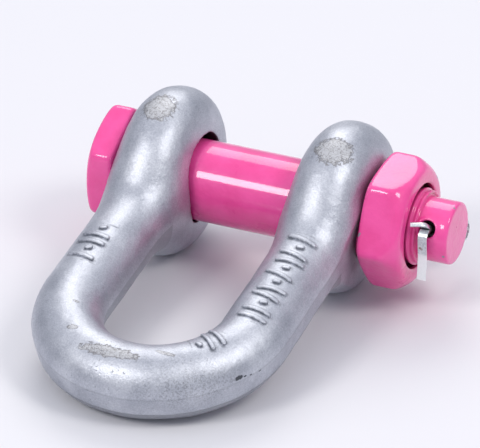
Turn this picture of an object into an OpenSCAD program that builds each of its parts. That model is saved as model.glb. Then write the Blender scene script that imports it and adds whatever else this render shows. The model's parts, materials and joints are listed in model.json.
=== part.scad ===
// Bolt-type dee shackle: forged D body, headed bolt, hexagon nut and split pin.
//
// The shackle lies at rest on a level surface, on its two ears and its crown.
// Origin: on the bolt's axis, half way between the ears.
// +X runs along the bolt to the nut, -Y towards the crown, +Z straight up.

/* [Body] */
// Diameter of the bar that the legs and the crown are forged from
bar_d = 19.05; // [16:0.05:22]
// Clear width of the jaw, between the ears' inner faces
jaw = 31.5; // [28:0.1:36]
// From the axis of the ears' holes to the centre of the bar at the crown
crown_depth = 84.2; // [72:0.1:100]
// Outer diameter of an ear
ear_d = 46.6; // [44:0.1:52]
// Diameter of the plain hole through each ear
ear_hole_d = 24.6; // [24.2:0.1:26]

/* [Bolt] */
// Diameter of the plain shank, and of the thread over its crests
shank_d = 22.2; // [21:0.1:22.4]
// Width of the hexagon head across its flats
head_af = 30; // [26:0.5:34]
// Thickness of the head
head_t = 8.2; // [5:0.1:14]
// Free space between the head and the ear
head_gap = 1.1; // [0.5:0.1:4]
// Diameter of the plain end beyond the thread
dog_d = 17; // [15:0.1:18]
// From the nut's outer face to the bolt's tip
bolt_stickout = 10.4; // [9:0.1:16]

/* [Nut] */
// Width of the nut across its flats
nut_af = 32; // [31:0.5:38]
// Thickness of the nut
nut_t = 11.8; // [10:0.1:16]
// Free space between the nut and the ear
nut_gap = 1.1; // [0.5:0.1:3]

/* [Split pin] */
// Diameter of the closed pin, two half-round legs together
pin_d = 2.8; // [2.4:0.1:3.6]
// Diameter of the cross hole through the bolt's plain end
cross_hole_d = 4.6; // [4.2:0.1:5]
// Angle of the cross hole above the level, on the crown's side
cross_hole_tilt = 27.5; // [0:0.5:60]
// From the bolt's axis to the centre of the pin's eye
eye_reach = 21.5; // [14:0.1:22]
// Straight length of the long bent leg
long_leg = 12; // [8:0.5:18]

/* [Hidden] */
$fn = 96;

bar_r = bar_d / 2;
ear_r = ear_d / 2;
shank_r = shank_d / 2;
leg_x = jaw / 2 + bar_r;                 // centre-line of each leg
ear_out = jaw / 2 + bar_d;               // outer face of each ear
crown_y = crown_depth - leg_x;           // where the legs meet the half-round crown
lie_angle = asin((ear_r - bar_r) / crown_depth);  // the crown rests lower than the holes
bolt_drop = 0.8;                         // the bolt lies low in the ears' holes

ear_in_round = 9.2;                        // rounding of an ear's rim, jaw side
ear_out_round = 9.4;                     // and its outer side
neck_y = 44;                             // where the flare of an ear runs out into the leg
neck_r = 16.5;                           // half height of that flare inside the ear

head_in = -(ear_out + head_gap);         // the head's face towards the ear
nut_in = ear_out + nut_gap;              // the nut's face towards the ear
nut_out = nut_in + nut_t;
bolt_tip = nut_out + bolt_stickout;
pin_x = nut_out + 4.6;                   // the cross hole, clear of the nut
head_turn = 58;                          // how far each hexagon stands turned
nut_turn = 36;

pitch = 2.82;                            // 9 threads to the inch
thread_depth = 1.5;
thread_play = 0.16;                      // radial clearance between nut and thread
thread_start = nut_in - 0.8;
thread_ridges = 5;
thread_end = thread_start + thread_ridges * pitch;
dog_start = thread_end + 0.6;            // past the shoulder that ends the thread

// The section of a ridged thread, from its axis out to its surface
function ridges(from, count, inner, outer) = [
    for (i = [0 : count - 1])
        for (p = [[0, inner], [0.06, inner], [0.44, outer], [0.56, outer], [0.94, inner]])
            [from + (i + p[0]) * pitch, p[1]]
];

// Turns a section drawn as [x, radius] about the X axis
module turn_about_x() {
    rotate([90, 0, 90]) rotate_extrude() mirror([1, -1]) children();
}

// A hexagonal prism along X with both ends bevelled off the corners; each bevel is given
// as how far it reaches in from the corner and how far along X
module hexagon(from, to, across, turn, bevel) {
    corner_r = across / 2 / cos(30);
    intersection() {
        translate([from, 0, 0]) rotate([turn, 0, 0]) rotate([0, 90, 0])
            cylinder(h = to - from, r = corner_r, $fn = 6);
        turn_about_x() polygon([
            [from, 0], [from, corner_r - bevel[0][0]], [from + bevel[0][1], corner_r],
            [to - bevel[1][1], corner_r], [to, corner_r - bevel[1][0]], [to, 0]
        ]);
    }
}

// Places a child, drawn with the cross hole along +Z, on the bolt
module at_cross_hole() {
    translate([pin_x, 0, 0]) rotate([90 - cross_hole_tilt, 0, 0]) children();
}

// Tilts the D body so that its ears and its crown touch the same level surface
module lying() {
    translate([0, 0, bolt_drop]) rotate([lie_angle, 0, 0]) children();
}

module ear_section() {
    inner = jaw / 2;
    union() {
        translate([inner, 0]) square([bar_d, ear_r - ear_out_round]);
        translate([inner + ear_in_round, 0])
            square([bar_d - ear_in_round - ear_out_round, ear_r]);
        translate([inner, 0]) square([ear_in_round, ear_r - ear_in_round]);
        translate([inner + ear_in_round, ear_r - ear_in_round]) circle(r = ear_in_round);
        translate([ear_out - ear_out_round, ear_r - ear_out_round]) circle(r = ear_out_round);
    }
}

module ear_and_leg() {
    turn_about_x() ear_section();
    hull($fn = 32) {
        translate([leg_x, -neck_y, 0]) rotate([90, 0, 0]) cylinder(h = 0.1, r = bar_r);
        translate([leg_x, 0, 0]) rotate([0, 90, 0]) {
            cylinder(h = bar_d - 0.2, r = neck_r - 6, center = true);
            cylinder(h = bar_d - 9, r = neck_r, center = true);
        }
    }
    translate([leg_x, -4, 0]) rotate([90, 0, 0]) cylinder(h = crown_y - 4, r = bar_r);
}

module shackle_body() {
    color([0.66, 0.69, 0.74]) lying() difference() {
        union() {
            ear_and_leg();
            mirror([1, 0, 0]) ear_and_leg();
            translate([0, -crown_y, 0]) rotate([0, 0, 180])
                rotate_extrude(angle = 180) translate([leg_x, 0]) circle(r = bar_r);
        }
        rotate([0, 90, 0]) cylinder(h = 3 * jaw + 4 * bar_d, d = ear_hole_d, center = true);
    }
}

module bolt() {
    edge = 0.8;
    crest = shank_r - 0.1;
    root = shank_r - thread_depth;
    dog_r = dog_d / 2;
    color([0.93, 0.33, 0.62]) difference() {
        union() {
            hexagon(head_in - head_t, head_in, head_af, head_turn, [[3, 1.8], [0.5, 0.3]]);
            turn_about_x() polygon(concat(
                [[head_in - 0.5, 0], [head_in - 0.5, shank_r], [thread_start - 1, shank_r]],
                ridges(thread_start, thread_ridges, root, crest),
                [[thread_end, root - 0.3], [dog_start, dog_r],
                 [bolt_tip - edge, dog_r], [bolt_tip, dog_r - edge], [bolt_tip, 0]]
            ));
        }
        at_cross_hole() cylinder(h = 3 * dog_d, d = cross_hole_d, center = true);
    }
}

module nut() {
    crest = shank_r - 0.1 + thread_play;
    root = shank_r - thread_depth + thread_play;
    sink_r = shank_r + 0.6;
    color([0.95, 0.36, 0.64]) difference() {
        hexagon(nut_in, nut_out, nut_af, nut_turn, [[1.6, 1], [3.2, 3.9]]);
        turn_about_x() polygon(concat(
            [[nut_in - 1, 0], [nut_in - 1, sink_r], [nut_in, sink_r]],
            [for (p = ridges(thread_start, thread_ridges - 1, root, crest))
                if (p[0] > nut_in + 0.7 && p[0] < nut_out - 1.3) p],
            [[nut_out - 1.2, root], [nut_out - 1, sink_r], [nut_out + 1, sink_r], [nut_out + 1, 0]]
        ));
    }
}

// The section of one leg: half a round, its flat side on the Y axis
module half_round(inset = 0) {
    intersection() {
        circle(d = pin_d - 2 * inset);
        translate([inset, -pin_d]) square([pin_d, 2 * pin_d]);
    }
}

// A leg that bends over from +Z towards +X and runs straight to its tip
module bent_leg(inside_r, angle, straight) {
    lap = 0.2;                           // the straight run starts this far inside the bend
    translate([inside_r, 0, 0]) {
        rotate([90, 0, 180]) rotate_extrude(angle = angle)
            translate([inside_r, 0]) mirror([1, 0]) half_round();
        rotate([0, angle, 0]) translate([-inside_r, 0, -lap])
            linear_extrude(straight + lap) half_round(inset = 0.04);
    }
}

module split_pin() {
    eye_r = 2.6;                         // centre-line of the eye
    exit = dog_d / 2 + 0.9;              // the legs start to bend just outside the hole
    stem_from = -eye_reach + eye_r;
    color([0.83, 0.84, 0.86]) at_cross_hole() {
        translate([0, 0, -eye_reach]) rotate([0, 90, 0])
            rotate_extrude() translate([eye_r, 0]) circle(d = pin_d * 0.55);
        translate([0, 0, stem_from]) cylinder(h = exit + 0.1 - stem_from, d = pin_d - 0.1);
        translate([0, 0, exit]) {
            rotate([0, 0, -90]) bent_leg(2.4, 90 + cross_hole_tilt, long_leg);
            rotate([0, 0, 172]) bent_leg(1.9, 78, 1.6);
        }
    }
}

shackle_body();
bolt();
nut();
split_pin();
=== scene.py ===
import bpy
import json
from math import asin, atan2, cos, hypot, pi, radians, sin, sqrt
from mathutils import Matrix, Vector


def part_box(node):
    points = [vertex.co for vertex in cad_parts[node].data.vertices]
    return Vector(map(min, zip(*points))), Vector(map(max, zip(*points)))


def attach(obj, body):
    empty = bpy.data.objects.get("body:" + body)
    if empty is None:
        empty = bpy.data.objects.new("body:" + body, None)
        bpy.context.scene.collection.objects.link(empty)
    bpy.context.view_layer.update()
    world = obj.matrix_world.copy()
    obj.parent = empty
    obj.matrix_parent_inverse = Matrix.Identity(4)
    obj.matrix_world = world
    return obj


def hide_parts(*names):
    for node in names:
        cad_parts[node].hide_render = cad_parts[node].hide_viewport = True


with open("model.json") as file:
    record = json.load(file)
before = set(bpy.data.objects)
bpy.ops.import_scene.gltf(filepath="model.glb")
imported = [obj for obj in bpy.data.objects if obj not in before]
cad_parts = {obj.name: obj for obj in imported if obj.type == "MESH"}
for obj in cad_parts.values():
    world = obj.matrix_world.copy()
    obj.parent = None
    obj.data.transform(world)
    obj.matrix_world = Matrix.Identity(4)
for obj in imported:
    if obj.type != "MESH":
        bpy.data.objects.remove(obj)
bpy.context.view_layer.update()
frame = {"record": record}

# The shackle body is one steel forging: a round bar bent to a D, its ends spread into two round
# ears with a plain hole each, the flash trimmed to a narrow flat along the outside, then hot-dip
# galvanised, which leaves a satin blue-grey skin with a fine grain.

MM = 0.001
mounts = {mount["name"]: mount for mount in frame["record"]["mounts"]}
span, saddle = mounts["bolt_span"], mounts["crown_saddle"]
body_low, body_high = (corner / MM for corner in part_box("shackle_body"))
spare = Vector((1.5, 1.5, 1.5))               # room left round a piece when its surface is found

jaw = span["dims"]["length_mm"]
shank_r = span["dims"]["r_mm"]
bar_r = saddle["dims"]["r_mm"]
leg_x = jaw / 2 + bar_r
ear_r = (body_high.z - body_low.z) / 2
hole_z = (body_high.z + body_low.z) / 2       # the bolt lies low in the ears' holes
floor_z = body_low.z
lie = atan2(saddle["axis"][2], saddle["axis"][1])
crown_depth = bar_r - saddle["pos_m"][1] / MM / cos(lie)
crown_y = crown_depth - leg_x
hole_r = shank_r + 1.2                        # the bolt's clearance all round
flash_turn = radians(8)                       # the flash was trimmed a little below the middle
flash_half = 0.30                             # half the trimmed flat's width, in radians


class Wire:
    """A socket of a node tree. Arithmetic on it adds Math nodes, or Vector Math on vectors."""

    def __init__(self, tree, socket=None):
        self.tree, self.socket = tree, socket

    def make(self, kind, settings={}, inputs={}, out=0):
        """Adds a node: first its settings, then the value or link of each of its sockets."""
        node = self.tree.nodes.new(kind)
        for name, value in settings.items():
            if name == "stops":
                ramp = node.color_ramp.elements
                while len(ramp) < len(value):
                    ramp.new(1)
                for stop, (place, shade) in zip(ramp, value):
                    stop.position, stop.color = place, (*shade, 1)
            else:
                setattr(node, name, value)
        for key, value in inputs.items():
            if isinstance(value, Wire):
                self.tree.links.new(value.socket, node.inputs[key])
            else:
                node.inputs[key].default_value = value
        return Wire(self.tree, node.outputs[out]) if node.outputs else None

    def maths(self, operation, *values):
        """Adds a Math node on these values, or Vector Math where one of them is a vector."""
        kind = "ShaderNodeMath"
        if any(isinstance(v, Wire) and v.socket.type == "VECTOR" for v in values):
            kind = "ShaderNodeVectorMath"
        return self.make(kind, {"operation": operation}, dict(enumerate(values)))

    def __add__(self, other):
        return self.maths("ADD", self, other)

    def __radd__(self, other):
        return self.maths("ADD", self, other)

    def __sub__(self, other):
        return self.maths("SUBTRACT", self, other)

    def __rsub__(self, other):
        return self.maths("SUBTRACT", other, self)

    def __mul__(self, other):
        mine = self.socket.type == "VECTOR"
        if mine and not (isinstance(other, Wire) and other.socket.type == "VECTOR"):
            return self.make("ShaderNodeVectorMath", {"operation": "SCALE"},
                             {0: self, "Scale": other})
        return self.maths("MULTIPLY", self, other)

    def __rmul__(self, other):
        return self * other

    def __truediv__(self, other):
        return self.maths("DIVIDE", self, other)

    def __rtruediv__(self, other):
        return self.maths("DIVIDE", other, self)

    def __neg__(self):
        return self * -1.0

    def __abs__(self):
        return self.maths("ABSOLUTE", self)

    def __gt__(self, other):
        return self.maths("GREATER_THAN", self, other)

    def __lt__(self, other):
        return self.maths("LESS_THAN", self, other)

    def split(self):
        node = self.make("ShaderNodeSeparateXYZ", {}, {0: self}).socket.node
        return [Wire(self.tree, output) for output in node.outputs]

    def least(self, other):
        return self.maths("MINIMUM", self, other)

    def most(self, other):
        return self.maths("MAXIMUM", self, other)

    def soft_least(self, other, width):
        return self.maths("SMOOTH_MIN", self, other, width)

    def soft_most(self, other, width):
        return self.maths("SMOOTH_MAX", self, other, width)

    def far(self, *others):
        """How far the place with these coordinates is from where all of them are 0."""
        total = self * self
        for other in others:
            total = total + other * other
        return self.maths("SQRT", total)

    def noise(self, scale, detail=3.0, roughness=0.5):
        return self.make("ShaderNodeTexNoise", {}, {
            "Vector": self, "Scale": scale, "Detail": detail, "Roughness": roughness})

    def step(self, first, last):
        """0 below first, 1 above last, and a smooth rise between them."""
        return self.make("ShaderNodeMapRange", {"interpolation_type": "SMOOTHSTEP"}, {
            "Value": self, "From Min": first, "From Max": last, "To Min": 0.0, "To Max": 1.0})

    def tint(self, first, last):
        """The colour first where this value is 0, last where it is 1."""
        return self.make("ShaderNodeMix", {"data_type": "RGBA"}, {
            0: self, 6: first if isinstance(first, Wire) else (*first, 1),
            7: last if isinstance(last, Wire) else (*last, 1)}, 2)


def vector(x, y, z):
    tree = next(v.tree for v in (x, y, z) if isinstance(v, Wire))
    return Wire(tree).make("ShaderNodeCombineXYZ", {}, {"X": x, "Y": y, "Z": z})


def bake(name, tree, values, mesh=None):
    """Runs a tree once with these named inputs, and keeps what it makes as a plain mesh."""
    piece = bpy.data.objects.new(name, mesh or bpy.data.meshes.new(name))
    bpy.context.scene.collection.objects.link(piece)
    modifier = piece.modifiers.new("grow", "NODES")
    modifier.node_group = tree
    for item in tree.interface.items_tree:
        if item.in_out == "INPUT" and item.name in values:
            modifier[item.identifier] = values[item.name]
    graph = bpy.context.evaluated_depsgraph_get()
    baked = bpy.data.meshes.new_from_object(piece.evaluated_get(graph))
    piece.modifiers.remove(modifier)
    piece.data = baked
    baked.name = name
    return piece


def new_tree(name, values, vectors=(), mesh_in=False):
    """A Geometry Nodes tree with these named inputs, and a wire from each of them."""
    tree = bpy.data.node_groups.new(name, "GeometryNodeTree")
    tree.interface.new_socket("Mesh", in_out="OUTPUT", socket_type="NodeSocketGeometry")
    if mesh_in:
        tree.interface.new_socket("Mesh", in_out="INPUT", socket_type="NodeSocketGeometry")
    for label in values:
        tree.interface.new_socket(label, in_out="INPUT", socket_type="NodeSocketFloat")
    for label in vectors:
        tree.interface.new_socket(label, in_out="INPUT", socket_type="NodeSocketVector")
    entry = Wire(tree).make("NodeGroupInput").socket.node
    return tree, {socket.name: Wire(tree, socket) for socket in entry.outputs if socket.name}


def leave_tree(mesh, material):
    """Ends a tree that works in mm: its mesh comes out in metres, smooth, in this material."""
    mesh = mesh.make("GeometryNodeTransform", {}, {"Geometry": mesh, "Scale": (MM, MM, MM)})
    mesh = mesh.make("GeometryNodeSetShadeSmooth", {}, {"Geometry": mesh})
    mesh = mesh.make("GeometryNodeRealizeInstances", {}, {"Geometry": mesh})
    mesh = mesh.make("GeometryNodeSetMaterial", {}, {"Geometry": mesh, "Material": material})
    mesh.make("NodeGroupOutput", {}, {0: mesh})


def solid(name, shape, sizes, corners, cell, material):
    """A closed mesh of the surface where shape(x, y, z, size), in mm, is zero. It is below zero
    inside the piece. The surface is found on a grid of cells, then each point is moved onto it
    along the slope. The sizes are the tree's named inputs."""
    tree, size = new_tree(name, sizes, ("low corner", "high corner"))
    here = Wire(tree).make("GeometryNodeInputPosition")
    distance = shape(*here.split(), size)
    count = ((size["high corner"] - size["low corner"]) * (1 / cell)).split()
    block = here.make("GeometryNodeVolumeCube", {}, {
        "Density": -distance, "Background": -1.0, "Min": size["low corner"],
        "Max": size["high corner"], "Resolution X": count[0], "Resolution Y": count[1],
        "Resolution Z": count[2]})
    mesh = here.make("GeometryNodeVolumeToMesh", {"resolution_mode": "GRID"},
                     {"Volume": block, "Threshold": 0.0})
    nudge, least_slope = 0.05, 0.3
    beside = [here + tuple(nudge * (axis == k) for axis in range(3)) for k in range(3)]
    slopes = [(shape(*place.split(), size) - distance) / nudge for place in beside]
    steep = slopes[0].far(*slopes[1:]).most(least_slope)
    mesh = mesh.make("GeometryNodeSetPosition", {}, {
        "Geometry": mesh, "Offset": vector(*slopes) * (-distance / (steep * steep))})
    leave_tree(mesh, material)
    return bake(name, tree, dict(sizes, **{"low corner": corners[0], "high corner": corners[1]}))


def body_place(x, y, z):
    """A place in the row's frame, in the frame of the flat D before it is laid down."""
    z = z - hole_z
    return x, y * cos(lie) + z * sin(lie), z * cos(lie) - y * sin(lie)


def forging(x, y, z, size):
    """The D: a bar round the crown and up the legs, run softly into two round-edged ears."""
    x, y, z = body_place(x, y, z)
    bar = size["bar radius"]
    out = x.far((y + size["leg end"]).least(0.0)) - size["leg place"]
    rod = (out.far(z) - bar).most(y)
    around = y.far(z)
    side = abs(x) - size["leg place"]
    rounding = size["inner rounding"] + (side > 0.0) * (
        size["outer rounding"] - size["inner rounding"])
    across = abs(side) - bar + rounding
    along = around - size["ear radius"] + rounding
    ear = across.most(along).least(0.0) + across.most(0.0).far(along.most(0.0)) - rounding
    steel = rod.soft_least(ear, size["neck fillet"])
    flash = out * cos(flash_turn) - z * sin(flash_turn) - bar + size["flash flat"]
    steel = steel.soft_most(flash, 0.15)
    steel = steel.soft_most(size["hole radius"] - around, size["hole edge"])
    place = vector(x, y, z)
    ripple = place.noise(0.13, 2.0) - 0.4
    dent = place.noise(0.9, 2.0) - 0.5
    return steel + ripple * size["ripple"] + dent * size["dents"]


def row(along, across, first, count, pitch, length, seed):
    """Distance to a row of strokes across the bar. All lean a little, and some are only dots."""
    stroke_r, dot_half, lean, dots_below = 0.62, 0.5, 0.24, -0.55
    along = along - first
    number = along / pitch
    number = number.maths("FLOOR", number)
    luck = number * 2.3 + seed
    luck = luck.maths("SINE", luck)
    near = along - (number + 0.5) * pitch + across * luck * lean
    half = dot_half + (length / 2 - dot_half) * (luck > dots_below)
    stroke = (abs(across + luck * 0.5) - half).most(0.0).far(near) - stroke_r
    half_row = count * pitch / 2
    return stroke.most(abs(along - half_row) - half_row)


def stroke_rows(x, y, pitch, length):
    """Distance to the raised strokes: a long row up the right leg, a short one up the left, and
    one round the crown. They stand 1 mm to the outside of each leg's middle, and to the inside
    of the crown's."""
    aside = 1.0
    turn = x.maths("ARCTAN2", x, -(y + crown_y))
    out = x.far(y + crown_y) - leg_x
    right = row(y, x - leg_x - aside, -62.5, 12, pitch, length, 0.4)
    left = row(y, x + leg_x + aside, -53.5, 5, pitch, length, 2.1)
    crown = row(turn * leg_x, out + aside, 19.0, 3, pitch, length, 4.4)
    return right.least(left).least(crown)


def new_material(name):
    """A new material, its shader, and the place on the object in mm."""
    material = bpy.data.materials.new(name)
    material.use_nodes = True
    shader = material.node_tree.nodes["Principled BSDF"]
    here = Wire(material.node_tree).make("ShaderNodeTexCoord", {}, {}, "Object")
    return material, shader, here * (1 / MM)


def feed(shader, **wires):
    """Sets or links the shader's sockets by name, with _ for a space."""
    for name, wire in wires.items():
        socket = shader.inputs[name.replace("_", " ")]
        if isinstance(wire, Wire):
            wire.tree.links.new(wire.socket, socket)
        else:
            socket.default_value = wire


def patch(place, middle, reach, ragged):
    """How far a place is from a patch's middle: 0 there, and about 1 at its ragged edge, which
    is as far off as the three reaches say."""
    offset = place - middle
    offset = offset.maths("MULTIPLY", offset, tuple(1 / r for r in reach))
    distance = place.make("ShaderNodeVectorMath", {"operation": "LENGTH"}, {0: offset}, 1)
    return distance + (ragged - 0.5) * 1.6


stroke_pitch, stroke_length = 3.0, 7.0
galvanised, shader, here = new_material("galvanised_skin")
x, y, z = body_place(*here.split())
flat_place = vector(x, y, z)
grain = here.noise(2.3, 3.0, 0.65)
cloud = here.noise(0.10, 5.0, 0.6)
ragged = here.noise(0.75, 4.0, 0.65)
coarse = here.noise(1.35, 2.0, 0.5)
spots = coarse.step(0.64, 0.72) * here.noise(0.06, 2.0).step(0.44, 0.6)
spots = spots * (0.25 + 0.75 * (1.0 - y.step(-74.0, -52.0)))

# where tongs and the ground have rubbed the skin grey: the ears and the crown, above and below
rubs = [((-25.6, -2.4, 23.0), (4.6, 5.2, 3.0)), ((26.2, -5.0, 22.4), (5.6, 4.6, 3.0)),
        ((-2.9, -85.5, 9.4), (8.6, 1.9, 3.0)), ((-15.6, -79.9, 9.4), (1.5, 0.8, 3.0)),
        ((11.0, -81.7, 9.5), (2.6, 0.6, 3.0)), ((-19.6, -69.6, 9.0), (0.9, 0.5, 3.0)),
        ((-24.0, -3.0, -23.2), (5.5, 4.5, 3.0)), ((24.5, -2.0, -23.2), (4.5, 5.5, 3.0)),
        ((3.0, -84.3, -9.5), (10.0, 2.4, 3.0))]
rub = None
for middle, reach in rubs:
    one = patch(flat_place, middle, reach, ragged)
    rub = one if rub is None else rub.least(one)
worn = 1.0 - rub.step(0.84, 1.0)
rim = 1.0 - (abs(rub - 0.92) * 6.5).least(1.0)
scuff = here.noise(0.85, 2.0, 0.6)
scratch = worn * (1.0 - (abs(scuff - 0.5) * 24.0).least(1.0))

# pits: a long one low on the crown's right, with a few small ones in line with it
pits = None
for angle, rise, length in ((57.5, 16, 1.5), (61, 14, 0.5), (64, 11, 0.6), (69, 8, 0.5)):
    angle, rise = radians(angle), radians(rise)
    out = leg_x + bar_r * cos(rise)
    middle = (out * sin(angle), -crown_y - out * cos(angle), bar_r * sin(rise))
    one = patch(flat_place, middle, (length, length, length * 0.5), ragged)
    pits = one if pits is None else pits.least(one)
pits = 1.0 - pits.step(0.7, 1.0)
rash = 1.0 - patch(flat_place, (20.0, -86.0, 4.0), (17.0, 12.0, 7.0), cloud).step(0.45, 1.1)
rash = rash * here.noise(2.0, 2.0, 0.6).step(0.46, 0.64)

# the trimmed flash, with painted shade: thin dark lines along both its edges, darker on the
# lower one, and a darker underside below it; and painted shade round the forged marks' feet
out = x.far((y + crown_y).least(0.0)) - leg_x
turn = z.maths("ARCTAN2", z, out) + flash_turn
past_ears = y < -22.0
line = 1.0 - (abs(abs(turn) - flash_half) * 22.0).least(1.0)
underside_shade = (turn < -flash_half) * past_ears
line = line * past_ears * (0.35 + ragged * 0.9) * (0.5 + 0.5 * (z < 0.0))
stroke = stroke_rows(x, y, stroke_pitch, stroke_length)
mark_foot_shade = stroke.step(-0.45, 0.0) * (1.0 - stroke.step(0.1, 0.9)) * (z > 0.0)
mark_foot_shade = mark_foot_shade * here.noise(0.9, 3.0, 0.6).step(0.30, 0.62)

shade = grain * 0.5 + cloud * 0.5
skin = here.make("ShaderNodeValToRGB", {"stops": [
    (0.32, (0.345, 0.365, 0.42)), (0.5, (0.485, 0.505, 0.56)), (0.66, (0.625, 0.645, 0.695))]},
    {"Fac": shade})
skin = (worn * 0.38).tint(skin, (0.53, 0.52, 0.50))
skin = (rim * 0.72).tint(skin, (0.14, 0.135, 0.14))
skin = (scratch * 0.7).tint(skin, (0.16, 0.15, 0.145))
# painted shade round the feet of the forged marks, on the upper side
skin = (mark_foot_shade * 0.6).tint(skin, (0.13, 0.14, 0.165))
# painted shade: thin dark lines along the flash's edges, and the bar's underside darkened
skin = (line * 0.6).tint(skin, (0.14, 0.145, 0.16))
skin = (underside_shade * 0.46).tint(skin, (0.25, 0.26, 0.29))
skin = (rash * 0.42).tint(skin, (0.17, 0.175, 0.19))
skin = (spots * 0.55).tint(skin, (0.17, 0.18, 0.21))
skin = (pits * 0.9).tint(skin, (0.05, 0.055, 0.065))
# painted shade: the inside of the ears' holes is painted almost black
skin = ((y.far(z) < hole_r + 0.2) * 0.92).tint(skin, (0.03, 0.027, 0.03))
bump = here.make("ShaderNodeBump", {}, {
    "Strength": 0.6, "Distance": 0.00012,
    "Height": grain + coarse * 0.5 + worn * ragged * 1.2 - spots * 0.5 - pits})
feed(shader, Base_Color=skin, Metallic=0.9, Normal=bump,
     Roughness=0.35 + shade * 0.20 + worn * 0.10 + mark_foot_shade * 0.1)

body_sizes = {
    "bar radius": bar_r, "leg place": leg_x, "leg end": crown_y, "ear radius": ear_r,
    "hole radius": hole_r, "inner rounding": 9.2, "outer rounding": 9.4, "neck fillet": 13.0,
    "flash flat": 0.42, "hole edge": 0.8, "ripple": 0.4, "dents": 0.12}
body = solid("galvanised_body", forging, body_sizes, (body_low - spare, body_high + spare), 0.55,
             galvanised)
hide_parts("shackle_body")
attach(body, "shackle_body")

# Forged marks: the dies leave rows of raised strokes on both legs and the crown, galvanised
# over with the rest. These are plain bars and dots, and say nothing.


def marks(x, y, z, size):
    """The strokes on the upper side, from just under the body's skin to their full height."""
    skin = forging(x, y, z, size)
    x, y, z = body_place(x, y, z)
    strokes = stroke_rows(x, y, size["stroke pitch"], size["stroke length"])
    top = skin - size["stroke height"]
    foot = -skin - size["stroke foot"]
    return strokes.soft_most(top, 0.4).most(foot).most(-z)


mark_sizes = dict(body_sizes, **{
    "stroke pitch": stroke_pitch, "stroke length": stroke_length, "stroke height": 0.55,
    "stroke foot": 0.8})
strokes = solid("raised_marks", marks, mark_sizes,
                (Vector((-31, -79, -8)), Vector((32.5, -25, 8.5))), 0.24, galvanised)
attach(strokes, "shackle_body")

# The bolt is forged in one with its thin hexagon head, turned and threaded, and ends in a plain
# pilot with a cross hole. It is dipped in thick glossy pink paint, which rounds every edge.

bolt_low, bolt_high = (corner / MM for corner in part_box("bolt"))
nut_low, nut_high = (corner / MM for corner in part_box("nut"))
slide = next(j for j in frame["record"]["behaviour"]["joints"] if j["name"] == "split_pin_slide")
tilt = atan2(slide["axis"][2], -slide["axis"][1])     # the cross hole's slope
pin_x = nut_high.x + 4.6                              # and its place, clear of the nut
pilot_r, cross_hole_r = 8.5, 2.3
thread_start, thread_pitch = nut_low.x - 0.8, 2.82    # 9 threads to the inch
bolt_sizes = {
    "head end": bolt_low.x, "head thickness": 8.2, "head across flats": 30.0,
    "shank radius": shank_r, "thread start": thread_start, "pitch": thread_pitch,
    "thread depth": 1.4, "ridges": 5.0, "pilot radius": pilot_r, "tip": bolt_high.x,
    "cross hole radius": cross_hole_r, "cross hole place": pin_x, "paint edge": 2.0}


def hexagon(x, y, z, first, last, across, corner, bevels, edge):
    """A hexagonal bar from x = first to last; each bevel is its reach inwards and along x."""
    sides = None
    for turn in (30, 90, 150):
        angle = radians(corner + turn)
        side = abs(z * sin(angle) - y * cos(angle)) - across / 2
        sides = side if sides is None else sides.soft_most(side, edge)
    around = y.far(z) - across / 2 / cos(radians(30))
    for end, inward, bevel in ((first, 1.0, bevels[0]), (last, -1.0, bevels[1])):
        inside = (x - end) * inward
        steep = bevel[0] / bevel[1]
        slope = (around + bevel[0] - inside * steep) * (1 / hypot(1, steep))
        sides = sides.soft_most(slope, edge).soft_most(-inside, edge)
    return sides


def ridges(x, size, root, crest):
    """The radius of the thread, a row of ridges, at each place along the bolt."""
    turns = (x - size["thread start"]) / size["pitch"]
    wave = abs(turns.maths("FRACT", turns) - 0.5)
    return crest - (wave * 2.6 - 0.16).most(0.0).least(1.0) * (crest - root)


def to_cross_hole(x, y, z, place):
    """How far off the middle line of the bolt's cross hole, and how far along it."""
    return (x - place).far(z * cos(tilt) + y * sin(tilt)), z * sin(tilt) - y * cos(tilt)


def bolt_shape(x, y, z, size):
    """The bolt: head, shank, thread with its end ring, and the pilot with its cross hole."""
    edge = size["paint edge"]
    bead = 0.42                               # half the thickness of a run of paint
    around = y.far(z)
    head_in = size["head end"] + size["head thickness"]
    head = hexagon(x, y, z, size["head end"], head_in, size["head across flats"], 32,
                   ((3.0, 1.8), (0.5, 0.3)), edge)
    shank = (around - size["shank radius"]).most(x - size["thread start"] + 1.0)
    shank = shank.most(size["head end"] + 2.0 - x)
    crest = size["shank radius"] - 0.1
    last = size["thread start"] + size["pitch"] * size["ridges"]
    crest = crest - (x - last + 2.6).most(0.0).least(1.0) * 0.55
    thread = (around - ridges(x, size, size["shank radius"] - size["thread depth"], crest)) * 0.7
    thread = thread.soft_most(x - last + 0.15, 0.8)
    thread = thread.most(size["thread start"] - 2.0 - x)
    groove = (x - last + 0.75).far(around - 10.15) - bead
    end_ring = (x - last + 0.05).far(around - 9.6) - bead
    pilot = (around - size["pilot radius"]).soft_most(x - size["tip"], 1.5)
    pilot = pilot.most(size["thread start"] - x)
    steel = head.soft_least(shank, 1.0).least(thread).soft_least(pilot, 0.9)
    steel = steel.soft_most(-groove, 0.15).soft_least(end_ring, 0.15)
    off, along = to_cross_hole(x, y, z, size["cross hole place"])
    hole = off - size["cross hole radius"]
    lip = (around - size["pilot radius"] + 0.12).far(hole - 0.45) - bead
    steel = steel.soft_least(lip.most(-along), 0.7)
    return steel.soft_most(-hole, 0.6)


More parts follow.
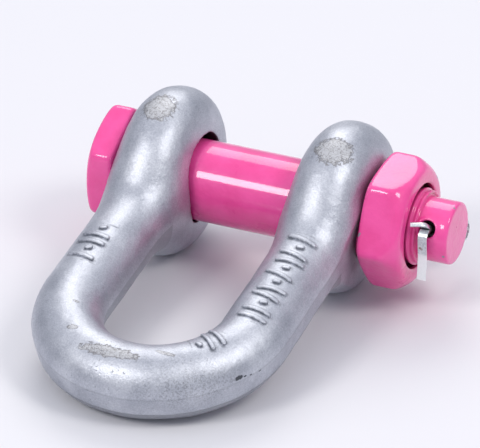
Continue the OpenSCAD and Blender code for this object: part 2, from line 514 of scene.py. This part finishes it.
def pink_paint(name, chips, depth):
    """Thick gloss enamel, chipped to bare grey steel at a few edges, with painted shade, nearly
    black, where depth, a distance in mm into a hole or a gap, is above zero."""
    material, shader, here = new_material(name)
    cloud = here.noise(0.12, 3.0)
    flow = here.noise(0.35, 2.0)
    peel = here.noise(0.95, 2.0)
    speck = here.noise(5.0, 2.0, 0.6)
    paint = cloud.step(0.3, 0.7).tint((0.80, 0.060, 0.29), (0.87, 0.085, 0.35))
    chip = None
    for middle, reach in chips:
        one = patch(here, middle, (reach,) * 3, peel)
        chip = one if chip is None else chip.least(one)
    bare = 1.0 - chip.step(0.62, 0.74)
    paint = (bare * 0.9).tint(paint, (0.26, 0.27, 0.30))
    # painted shade: deep in holes and gaps the paint is darkened nearly to black
    hole_shade = depth(*here.split()).step(0.0, 0.8)
    paint = (hole_shade * 0.94).tint(paint, (0.035, 0.004, 0.012))
    bump = here.make("ShaderNodeBump", {}, {
        "Strength": 0.35, "Distance": 0.0004,
        "Height": flow + peel * 0.6 + speck * 0.03 - bare * 0.3})
    feed(shader, Base_Color=paint, Normal=bump,
         Roughness=0.24 + cloud * 0.10 + bare * 0.35 + hole_shade * 0.3,
         Coat_Weight=(1.0 - bare) * (1.0 - hole_shade), Coat_Roughness=0.06, Coat_IOR=1.5,
         Specular_IOR_Level=0.15)
    return material


def in_bolt_holes(x, y, z):
    """How deep a place is in the cross hole, or behind the nut's mouth among the threads."""
    off, _ = to_cross_hole(x, y, z, pin_x)
    in_hole = (pilot_r - 0.5 - y.far(z)).least((cross_hole_r + 0.3 - off) * 9.0)
    in_nut = (nut_high.x - 0.9 - x).least((x - nut_low.x + 1.0) * 2.0)
    return in_hole.most(in_nut)


bolt_paint = pink_paint("bolt_paint", [
    ((57.6, -1.4, 8.3), 0.5), ((57.9, 7.7, 2.6), 0.5), ((57.4, -7.9, -3.1), 0.5),
    ((-43.6, -9.0, 11.0), 0.8), ((-43.8, 8.0, -12.0), 1.2), ((12.0, 6.0, -9.2), 0.8),
    ((57.2, 7.4, -3.4), 0.8)], in_bolt_holes)
painted_bolt = solid("painted_bolt", bolt_shape, bolt_sizes, (bolt_low - spare, bolt_high + spare),
                     0.4, bolt_paint)
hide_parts("bolt")
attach(painted_bolt, "bolt")

# The nut is a plain hexagon nut with bevelled corners, screwed on loosely before the paint was
# dry. Its mouth is countersunk, and its thread runs between the ridges of the bolt's.

nut_sizes = {
    "inner face": nut_low.x, "outer face": nut_high.x, "across flats": 32.0,
    "countersink radius": 11.6, "countersink depth": 3.4, "thread start": thread_start,
    "pitch": thread_pitch, "crest": shank_r + 0.06, "root": shank_r - 1.24, "paint edge": 1.8}


def nut_shape(x, y, z, size):
    """The nut: a bevelled hexagon less a ridged bore, with a deep mouth and a shallow one."""
    edge = size["paint edge"]
    around = y.far(z)
    steel = hexagon(x, y, z, size["inner face"], size["outer face"], size["across flats"], 54,
                    ((1.6, 1.0), (3.2, 3.9)), edge)
    bore = (around - ridges(x, size, size["root"], size["crest"])) * 0.7
    sink = size["countersink radius"]
    mouth = (around - sink).most(size["outer face"] - size["countersink depth"] - x)
    back = (around - sink).most(x - size["inner face"] - 0.3)
    bore = bore.least(mouth).least(back)
    return steel.soft_most(-bore, 0.7)


def in_nut_mouth(x, y, z):
    """How deep a place is in the nut's bore."""
    return (nut_high.x - 0.7 - x).least((12.0 - y.far(z)) * 3.0)


nut_paint = pink_paint("nut_paint", [
    ((36.6, -16.0, 3.0), 0.8), ((47.2, 12.0, 9.0), 0.8), ((37.0, 10.5, -14.0), 1.2),
    ((36.5, -8.0, 15.4), 0.7)], in_nut_mouth)
painted_nut = solid("painted_nut", nut_shape, nut_sizes, (nut_low - spare, nut_high + spare),
                    0.33, nut_paint)
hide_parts("nut")
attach(painted_nut, "nut")

# The split pin is one length of half-round wire, bright zinc plated and folded on its flat into
# an eye and two legs. The long leg is bent down over the bolt, the short one towards the nut.

wire_r = 1.25                                 # half the width of the wire's flat
eye_in, eye_reach, eye_taper = 2.1, 21.6, 4.6
exit_at = pilot_r + 0.3                       # the legs start to bend just outside the hole
turn_in = asin(eye_in / eye_taper)


class Bender:
    """Lays wire as it is bent: along is its heading, flat the way its flat side looks."""

    def __init__(self, place, along, flat):
        self.place, self.along, self.flat = Vector(place), Vector(along), Vector(flat)
        self.path = [(self.place.copy(), self.flat.copy())]

    def keep(self):
        """Marks where the wire has got to."""
        self.path.append((self.place.copy(), self.flat.copy()))

    def straight(self, length, pieces=6):
        for _ in range(pieces):
            self.place += self.along * length / pieces
            self.keep()

    def bend(self, radius, angle, towards):
        """Bends the wire towards a direction across it, on this radius at the flat side."""
        axis = self.along.cross(towards).normalized()
        pieces = max(4, int(abs(angle) / radians(7)))
        middle = self.place + axis.cross(self.along) * radius
        turn = Matrix.Rotation(angle / pieces, 3, axis)
        for _ in range(pieces):
            self.place = middle + turn @ (self.place - middle)
            self.along, self.flat = turn @ self.along, turn @ self.flat
            self.keep()


exit_way = Vector(slide["axis"])
along_bolt = Vector((1, 0, 0))
upward = along_bolt.cross(exit_way)
upward = upward if upward.z > 0 else -upward
hole = Vector((pin_x, 0, 0))


def half_pin(side):
    """From the eye's far end to where the leg leaves the hole, on one side of the pin."""
    across, half_gap, easing = upward * side, 0.04, 3.0
    wire = Bender(hole - exit_way * (eye_reach + eye_in), across, exit_way)
    wire.bend(eye_in, pi / 2 + turn_in, exit_way)
    wire.straight(sqrt(eye_taper ** 2 - eye_in ** 2) - easing * sin(turn_in / 2))
    wire.bend(easing, turn_in, across)
    wire.place -= across * (wire.place.dot(across) - half_gap)
    reached = (wire.place - hole).dot(exit_way)
    wire.straight(exit_at - reached, 12)
    return wire


long_leg = half_pin(-1)
long_leg.bend(2.0, pi / 2 + tilt + radians(5), -upward)
long_leg.straight(5.4)
long_leg.bend(4.0, radians(9), exit_way)
long_leg.straight(5.9)
short_leg = half_pin(1)
short_leg.bend(2.6, radians(20), upward)
short_leg.bend(1.5, radians(76), Vector((-1, 0, 0)) - upward * 0.34)
short_leg.straight(2.5)
lay = long_leg.path[::-1] + short_leg.path[1:]

line = bpy.data.meshes.new("pin_line")
line.from_pydata([place for place, _ in lay], [(k, k + 1) for k in range(len(lay) - 1)], [])
faces_way = line.attributes.new("flat", "FLOAT_VECTOR", "POINT")
for k, (_, flat) in enumerate(lay):
    faces_way.data[k].vector = flat

pin_sizes = {"wire radius": wire_r}


def pin_tree(material):
    """Sweeps half a round along the bent line, its flat side where the line says."""
    tree, size = new_tree("bent_wire", pin_sizes, (), True)
    flat = Wire(tree).make("GeometryNodeInputNamedAttribute", {"data_type": "FLOAT_VECTOR"},
                           {"Name": "flat"})
    curve = flat.make("GeometryNodeMeshToCurve", {}, {"Mesh": size["Mesh"]})
    curve = flat.make("GeometryNodeSetCurveNormal", {"mode": "FREE"},
                      {"Curve": curve, "Normal": flat})
    ring = flat.make("GeometryNodeCurvePrimitiveCircle", {"mode": "RADIUS"},
                     {"Resolution": 28, "Radius": size["wire radius"]})
    x, y, _ = flat.make("GeometryNodeInputPosition").split()
    half = vector(x.maths("MINIMUM", x, 0.0), y, 0.0)
    ring = flat.make("GeometryNodeSetPosition", {}, {"Geometry": ring, "Position": half})
    wire = flat.make("GeometryNodeCurveToMesh", {}, {
        "Curve": curve, "Profile Curve": ring, "Fill Caps": True})
    leave_tree(wire, material)
    return tree


zinc, shader, here = new_material("bright_zinc")
streak = here.noise(2.0, 3.0, 0.6)
fine = here.noise(3.0, 3.0)
x, y, z = here.split()
# a spot of rust on the long leg, a painted highlight on its lower end, and painted shade on
# the stem inside the hole
rust = patch(here, (pin_x - 0.4, -12.0, -0.6), (0.7, 2.5, 0.7), here.noise(1.4))
rust = 1.0 - rust.step(0.6, 0.95)
# painted highlight: the long leg's lower end is made brighter and less metallic
lit_leg_end = (1.0 - z.step(-2.6, -2.0)) * (y < -8.0)
off, along = to_cross_hole(x, y, z, pin_x)
# painted shade: the stretch of wire inside the cross hole is painted nearly black
stem_shade = (1.0 - abs(along).step(7.4, 8.6)) * (off < 2.5)
colour = streak.step(0.3, 0.7).tint((0.60, 0.64, 0.66), (0.84, 0.88, 0.89))
colour = (lit_leg_end * 0.8).tint(colour, (0.93, 0.95, 0.96))
colour = (rust * 0.85).tint(colour, (0.24, 0.13, 0.07))
colour = (stem_shade * 0.9).tint(colour, (0.03, 0.03, 0.035))
bump = here.make("ShaderNodeBump", {}, {"Strength": 0.3, "Distance": 0.0001, "Height": fine})
feed(shader, Base_Color=colour, Metallic=1.0 - rust * 0.8 - lit_leg_end * 0.6, Normal=bump,
     Roughness=0.28 + streak * 0.16 + rust * 0.4)
split_pin = bake("split_pin_wire", pin_tree(zinc), pin_sizes, line)
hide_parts("split_pin")
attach(split_pin, "split_pin")

# The studio: a pale sheet of paper under the shackle, three round soft lights, in front on the
# left, on the right, and high behind, and a pale room that is brighter overhead than low down.
# The camera stands in front, a little to the right.


def looking(thing, target):
    """Turns a light or a camera to look at a place."""
    thing.rotation_euler = (target - thing.location).to_track_quat("-Z", "Y").to_euler()


def soft_light(name, way, distance, width, power, colour):
    """A round light this way off from the shackle's middle, in metres and watts."""
    lamp = bpy.data.lights.new(name, "AREA")
    lamp.shape, lamp.size, lamp.energy, lamp.color = "DISK", width, power, colour
    thing = bpy.data.objects.new(name, lamp)
    bpy.context.scene.collection.objects.link(thing)
    middle = Vector((0, -0.03, 0))
    thing.location = Vector(way).normalized() * distance + middle
    looking(thing, middle)


paper = bpy.data.meshes.new("paper")
corners = [(-3, -3), (3, -3), (3, 3), (-3, 3)]
paper.from_pydata([(x, y, floor_z * MM) for x, y in corners], [], [(0, 1, 2, 3)])
floor = bpy.data.objects.new("paper", paper)
bpy.context.scene.collection.objects.link(floor)
pale, shader, _ = new_material("pale_paper")
feed(shader, Base_Color=(0.70, 0.70, 0.735, 1), Roughness=0.7)
paper.materials.append(pale)

warm = (1.0, 0.97, 0.92)
soft_light("front_left", (-0.34, -0.67, 0.66), 1.0, 0.31, 3.2, warm)
soft_light("right", (0.63, -0.11, 0.77), 1.0, 0.34, 3.0, warm)
soft_light("behind", (-0.25, 0.62, 0.74), 0.9, 0.54, 2.4, warm)

world = bpy.data.worlds.new("studio")
world.use_nodes = True
sky = world.node_tree.nodes["Background"].inputs["Color"]
height = Wire(world.node_tree).make("ShaderNodeTexCoord", {}, {}, "Generated").split()[2]
room = height.step(-0.1, 0.95).tint((0.40, 0.415, 0.47), (0.76, 0.78, 0.87))
world.node_tree.links.new(room.socket, sky)
bpy.context.scene.world = world
bpy.context.scene.view_settings.view_transform = "Standard"

azimuth, elevation, reach = radians(24.0), radians(29.0), 1.0825
target = Vector((7.8, -28.0, 5.8)) * MM
lens = bpy.data.cameras.new("camera")
lens.lens, lens.sensor_width, lens.clip_start = 309.8, 36, 0.01
camera = bpy.data.objects.new("camera", lens)
bpy.context.scene.collection.objects.link(camera)
camera.location = target + reach * Vector((
    sin(azimuth) * cos(elevation), -cos(azimuth) * cos(elevation), sin(elevation)))
looking(camera, target)
bpy.context.scene.camera = camera
